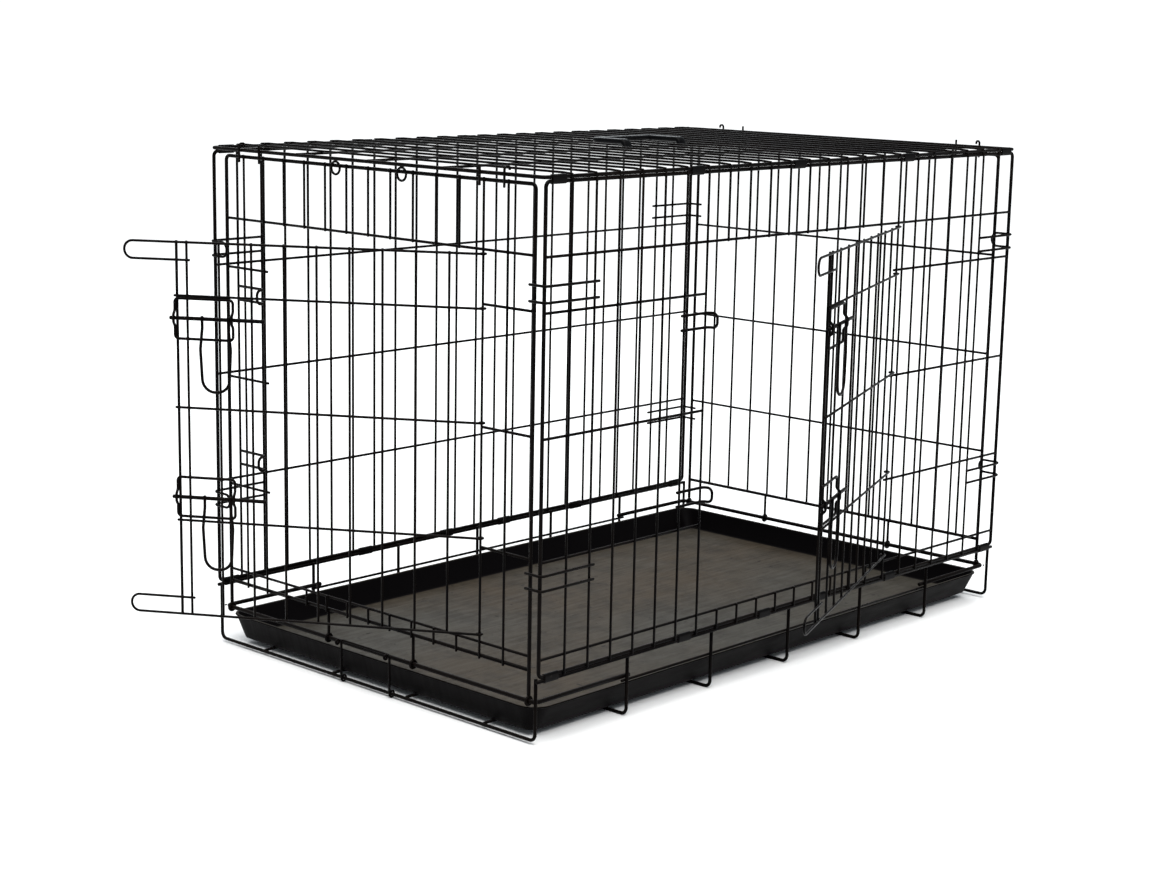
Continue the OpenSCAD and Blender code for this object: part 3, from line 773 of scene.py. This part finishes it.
def door_rails(node, place):
    """Horizontal wires of a door; the top and bottom ones turn back as stop loops past its free edge."""
    p = Piece(node, place, THIN_COATING)
    y, hinge_x = -DOOR_RAIL_OUT, -0.02
    for z in DOOR_RAIL_ZS:
        p.wire([(-DOOR_W - OVERHANG, y, z), (hinge_x, y, z)], RAIL_D)
    tip, back = DOOR_W + DOOR_LOOP, DOOR_W - 17
    for z, turn in ((DOOR_TOP_Z, -20), (DOOR_BOTTOM_Z, 20)):
        p.wire([(hinge_x, y, z), (-tip, y, z), (-tip, y, z + turn), (-back, y, z + turn)], RAIL_D, 9.9)
        p.weld((-DOOR_W, y + RAIL_D / 2, z + turn), 1.6)
    return p.finish(WIRE)


def door_curls(node, place):
    """Ends of the door's horizontal wires, curled round the doorway's post."""
    p = Piece(node, place)
    for z in DOOR_WELD_ZS:
        p.tube([(*polar(DOOR_RAIL_OUT, -90 + 14 * step), z) for step in range(21)], RAIL_D)
    return p.finish(WIRE)


def door_guides(node, place):
    """Rounded wire loops that hold the bolts: their uprights jog outwards over the bolt."""
    p = Piece(node, place)
    far, near = -DOOR_W - 2, -DOOR_W - 2 + GUIDE_W
    flat, jog = -DOOR_RAIL_OUT, -(BOLT_OUT + (BOLT_D + RAIL_D) / 2 + 0.35)
    for level, z in BOLT_ZS.items():
        top, bottom = GUIDE_TOPS[level], GUIDE_TOPS[level] - GUIDE_H
        line = []
        for x, start, end, way in ((far, top, bottom, -1), (near, bottom, top, 1)):
            line += [(x, flat, start), (x, flat, z - way * 9), (x, jog, z - way * 4.5),
                     (x, jog, z + way * 4.5), (x, flat, z + way * 9), (x, flat, end)]
        p.wire(line, RAIL_D, 4.5, closed=True)
    return p.finish(WIRE)


def latch_bolt(node, place, z):
    """A straight bolt with a wire paddle bent into a long loop."""
    p = Piece(node, place)
    tip = -DOOR_W - 8
    p.wire([(tip, -BOLT_OUT, z), (tip + BOLT_L, -BOLT_OUT, z)], BOLT_D)
    y = -(BOLT_OUT + (BOLT_D + LOOP_D) / 2 + 0.02)
    left, right, waist, bulge = 32 - DOOR_W, 32 - DOOR_W + PADDLE_W, z - 34, 2.5
    p.wire([(left, y, z + 4), (left, y, z - 10), (left - bulge, y, waist), (left, y, z - PADDLE_DROP),
            (right, y, z - PADDLE_DROP), (right + bulge, y, waist), (right, y, z - 10), (right, y, z + 4)],
           LOOP_D, 15)
    for x in (left, right):
        p.weld((x, y + LOOP_D / 2, z), 1.7)
    return p.finish(WIRE)


# ---------------------------------------------------------------- tray and its stop
def rounded_ring(half_x, half_y, radius, z, steps=8):
    """Points of a rounded rectangle at one height."""
    points = []
    for side_x, side_y, start in ((1, 1, 0), (-1, 1, 90), (-1, -1, 180), (1, -1, 270)):
        for i in range(steps + 1):
            dx, dy = polar(radius, start + 90 * i / steps)
            points.append((side_x * (half_x - radius) + dx, side_y * (half_y - radius) + dy, z))
    return points


def skin(rings):
    """Vertices and faces of a closed skin over rings with equal numbers of points."""
    size = len(rings[0])
    verts = [point for ring in rings for point in ring]
    faces = []
    for start in range(0, len(verts) - size, size):
        for k in range(size):
            n = (k + 1) % size
            faces.append((start + k, start + n, start + size + n, start + size + k))
    faces.append(tuple(reversed(range(size))))
    faces.append(tuple(range(len(verts) - size, len(verts))))
    return verts, faces


def tray():
    """A thin pan: rolled lip, sloping walls with radiused feet, and a flat floor."""
    p = Piece("tray")
    x, y, top, bottom = TRAY_SLOPE_X, TRAY_SLOPE_Y, TRAY_TOP_Z, TRAY_BOTTOM_Z
    inside = bottom + TRAY_WALL
    profile = [  # (inward from the rim along X, along Y, height): outside first, then the lip, then inside
        (x + 12.0, y + 12.0, bottom),
        (x + 5.0, y + 5.0, bottom),
        (x + 2.6, y + 2.6, bottom + 0.9),
        (x + 1.6, y + 1.6, bottom + 3.0),
        (2.4, 2.6, top - 4.6),
        (2.0, 2.1, top - 2.6),
        (0.7, 0.7, top - 2.0),
        (0.0, 0.0, top - 1.3),
        (0.5, 0.5, top - 0.3),
        (1.4, 1.4, top),
        (3.2, 3.2, top - 0.15),
        (4.2, 4.3, top - 1.0),
        (4.6, 4.9, top - 2.6),
        (x + 3.6, y + 3.9, inside + 3.2),
        (x + 4.8, y + 5.0, inside + 1.0),
        (x + 7.5, y + 7.6, inside),
        (x + 12.0, y + 12.0, inside),
    ]
    rings = []
    for in_x, in_y, z in profile:
        radius = max(TRAY_CORNER_R - 0.5 * (in_x + in_y), 6.0)
        rings.append(rounded_ring(TRAY_HALF_X - in_x, TRAY_HALF_Y - in_y, radius, z))
    p.add(*skin(rings))
    return p.finish(TRAY)


def tray_stop():
    """Wire gate at the tray's front: a bent wire with eyes round the base's front wire, and finger curls."""
    p = Piece("tray_stop")
    half, low = STOP_HALF_W, FRAME_D / 2 + END_LEG_LIFT
    leg_x = -SIDE_X - STOP_R
    curl_x, curl_z = leg_x - STOP_D - STOP_CURL_R, STOP_TOP_Z - 1.6
    for y in (-half, half):
        eye = []
        for a in range(300, -1, -20):
            dx, dz = polar(STOP_R, 180 + a)
            eye.append((-SIDE_X + dx, y, low + dz))
        p.tube(eye + [(leg_x, y, low + 4)], STOP_D)
        curl = []
        for a in range(0, 601, 20):
            dx, dz = polar(STOP_CURL_R * (1 - 0.45 * a / 600), a)
            curl.append((curl_x + dx, y + 1.2 * a / 600, curl_z + dz))
        p.tube(curl, STOP_D + p.coating)
    foot, top = low + 3, STOP_TOP_Z
    p.wire([(leg_x, -half, foot), (leg_x, -half, top), (leg_x, half, top), (leg_x, half, foot)], STOP_D, 4)
    return p.finish(WIRE)


# ---------------------------------------------------------------- carry handle
def carry_handle():
    """Moulded grip: a bar with finger swells between two arms that snap on the top's middle long wire."""
    p = Piece("carry_handle", Matrix.Translation((HANDLE_X, 0, 0)) @ turned(90))
    foot_y = HANDLE_HALF_L - HANDLE_ARM_W / 2
    grip_x = HANDLE_REACH - HANDLE_GRIP_W / 2
    foot_z, mid_z = HANDLE_HINGE_Z + 0.4, HANDLE_MID_Z
    path = bent_line([(0, -foot_y, foot_z), (2, -foot_y, mid_z), (grip_x, -foot_y, mid_z),
                      (grip_x, foot_y, mid_z), (2, foot_y, mid_z), (0, foot_y, foot_z)], 8.5)
    dense = []
    for a, b in zip(path, path[1:]):
        parts = max(1, round((b - a).length / 4))
        dense += [a.lerp(b, i / parts) for i in range(parts)]
    dense.append(path[-1])
    sides, squareness = 20, 0.62
    rings = []
    for i, point in enumerate(dense):
        way = (dense[min(i + 1, len(dense) - 1)] - dense[max(i - 1, 0)]).normalized()
        level = Vector((way.x, way.y, 0)).normalized() if way.xy.length > 0.2 else Vector((1, 0, 0))
        across = Vector((-level.y, level.x, 0))
        up = way.cross(across)
        if up.z < 0:
            up = -up
        on_grip = abs(point.x - grip_x) < 1.0
        swell = 0.25 * math.cos(point.y / 19.0 * math.tau) if on_grip else 0.0
        half_w = (6.3 if on_grip else 7.3) + swell
        half_h = 3.8 + 0.2 * swell
        ring = []
        for k in range(sides):
            c, s = polar(1, 360 * k / sides)
            ring.append(point + across * half_w * math.copysign(abs(c) ** squareness, c)
                        + up * half_h * math.copysign(abs(s) ** squareness, s))
        rings.append(ring)
    p.add(*skin(rings))
    for y in (-foot_y, foot_y):
        ends = [(0, y - HANDLE_ARM_W / 2, HANDLE_HINGE_Z), (0, y + HANDLE_ARM_W / 2, HANDLE_HINGE_Z)]
        p.tube(ends, HANDLE_FOOT_D, sides=24)
    return p.finish(HANDLE)


# ---------------------------------------------------------------- assembly
base_legs()
base_rails()
base_end_bars()
base_side_bars()
base_floor_wires()

for name, place, doorway in (("near_side", NEAR_SIDE, True), ("far_side", FAR_SIDE, False)):
    side_frame(name + "_frame", place)
    panel_bars(name + "_bars", place, SIDE_CELLS, SIDE_Y + BAR_OUT, SIDE_BOTTOM_Z, SIDE_TOP_Z, doorway)
    panel_rails(name + "_rails", place, SIDE_X, SIDE_Y + RAIL_OUT, doorway)
    side_keepers(name + "_keepers", place)

for name, place, doorway, eye_cell in (("front", FRONT_END, True, 2), ("rear", REAR_END, False, 3)):
    end_frame(name + "_frame", place)
    panel_bars(name + "_bars", place, END_CELLS, END_PLANE, END_BOTTOM_Z, END_TOP_Z, doorway)
    panel_rails(name + "_rails", place, END_Y, END_BAR_X + RAIL_OUT, doorway)
    hinge_eyes(name + "_hinge_eyes", place, eye_cell)
pull_rings()

top_frame()
top_cross_wires()
top_long_wires()
top_hooks()
edge_clips("top_edge_clips", TOP_CLIP_CELLS, SIDE_TOP_Z, TOP_Z)
edge_clips("bottom_edge_clips", BOTTOM_CLIP_CELLS, BASE_RAIL_Z, SIDE_BOTTOM_Z)

DOORS = {"front": (front_doorway, FRONT_DOOR_OPEN), "side": (side_doorway, SIDE_DOOR_OPEN)}
for name, (doorway_at, open_angle) in DOORS.items():
    receivers(name + "_door_receivers", doorway_at(0))
    place = doorway_at(open_angle)
    door_bars(name + "_door_bars", place)
    door_rails(name + "_door_rails", place)
    door_curls(name + "_door_hinge_curls", place)
    door_guides(name + "_door_guides", place)
    for level, z in BOLT_ZS.items():
        latch_bolt(f"{name}_{level}_bolt", place, z)

tray()
tray_stop()
carry_handle()


# ---------------------------------------------------------------- floor, light and camera
def floor():
    """A pale matt floor that reaches past the picture's edges."""
    mesh = bpy.data.meshes.new("floor")
    reach = 14.0
    corners = [(-reach, -reach, 0), (reach, -reach, 0), (reach, reach, 0), (-reach, reach, 0)]
    mesh.from_pydata(corners, [], [(0, 1, 2, 3)])
    made = bpy.data.objects.new("floor", mesh)
    bpy.context.scene.collection.objects.link(made)
    n = Nodes("floor_white")
    grain = n.noise(n.place(), 400.0, 2.0)
    mesh.materials.append(n.surface(n.mix(grain, (0.93, 0.93, 0.935, 1), (0.96, 0.96, 0.965, 1)), 0.9, 0.1))


def world():
    """White to look at; the light that it gives is dimmer and cool, so that black wires stay black."""
    made = bpy.data.worlds.new("studio")
    made.use_nodes = True
    tree = made.node_tree
    seen = tree.nodes["Background"]
    seen.inputs["Color"].default_value = (1, 1, 1, 1)
    seen.inputs["Strength"].default_value = 1.05
    lit = tree.nodes.new("ShaderNodeBackground")
    lit.inputs["Color"].default_value = (0.86, 0.94, 1.0, 1)
    lit.inputs["Strength"].default_value = 0.4
    either = tree.nodes.new("ShaderNodeMixShader")
    tree.links.new(tree.nodes.new("ShaderNodeLightPath").outputs["Is Camera Ray"], either.inputs["Fac"])
    tree.links.new(lit.outputs[0], either.inputs[1])
    tree.links.new(seen.outputs[0], either.inputs[2])
    tree.links.new(either.outputs[0], tree.nodes["World Output"].inputs["Surface"])
    bpy.context.scene.world = made


def sun():
    """A wide overhead light that keeps the floor white and its shadows short and soft."""
    light = bpy.data.lights.new("overhead", "SUN")
    light.energy = 2.9
    light.angle = math.radians(70)
    light.color = (1.0, 0.99, 0.965)
    made = bpy.data.objects.new("overhead", light)
    made.rotation_euler = (math.radians(6), math.radians(-8), 0)
    bpy.context.scene.collection.objects.link(made)


def soft_box(name, place, aim, size, power, color):
    light = bpy.data.lights.new(name, "AREA")
    light.shape = "RECTANGLE"
    light.size, light.size_y = size
    light.energy = power
    light.color = color
    made = bpy.data.objects.new(name, light)
    made.location = place
    made.rotation_euler = (Vector(aim) - Vector(place)).to_track_quat("-Z", "Y").to_euler()
    bpy.context.scene.collection.objects.link(made)


def camera():
    """The camera looks at the near front corner from a little above the crate."""
    data = bpy.data.cameras.new("camera")
    data.sensor_width = 36.0
    data.lens = 67.52
    data.clip_end = 100.0
    made = bpy.data.objects.new("camera", data)
    yaw, pitch, roll = math.radians(43.043), math.radians(-11.234), math.radians(1.079)
    forward = Vector((math.cos(pitch) * math.cos(yaw), math.cos(pitch) * math.sin(yaw), math.sin(pitch)))
    level = forward.cross(Vector((0, 0, 1))).normalized()
    above = level.cross(forward)
    right = level * math.cos(roll) + above * math.sin(roll)
    up = above * math.cos(roll) - level * math.sin(roll)
    rotation = Matrix((right, up, -forward)).transposed().to_4x4()
    made.matrix_world = Matrix.Translation((-2.11313, -1.88339, 0.80452)) @ rotation
    bpy.context.scene.collection.objects.link(made)
    bpy.context.scene.camera = made


floor()
world()
sun()
soft_box("key", (-1.5, -2.2, 3.2), (0, 0, 0.3), (2.4, 2.4), 60, (1.0, 0.99, 0.97))
soft_box("back", (2.2, 2.6, 2.4), (0, 0, 0.4), (2.2, 1.6), 40, (0.93, 0.97, 1.0))
camera()
bpy.context.scene.view_settings.view_transform = "Standard"
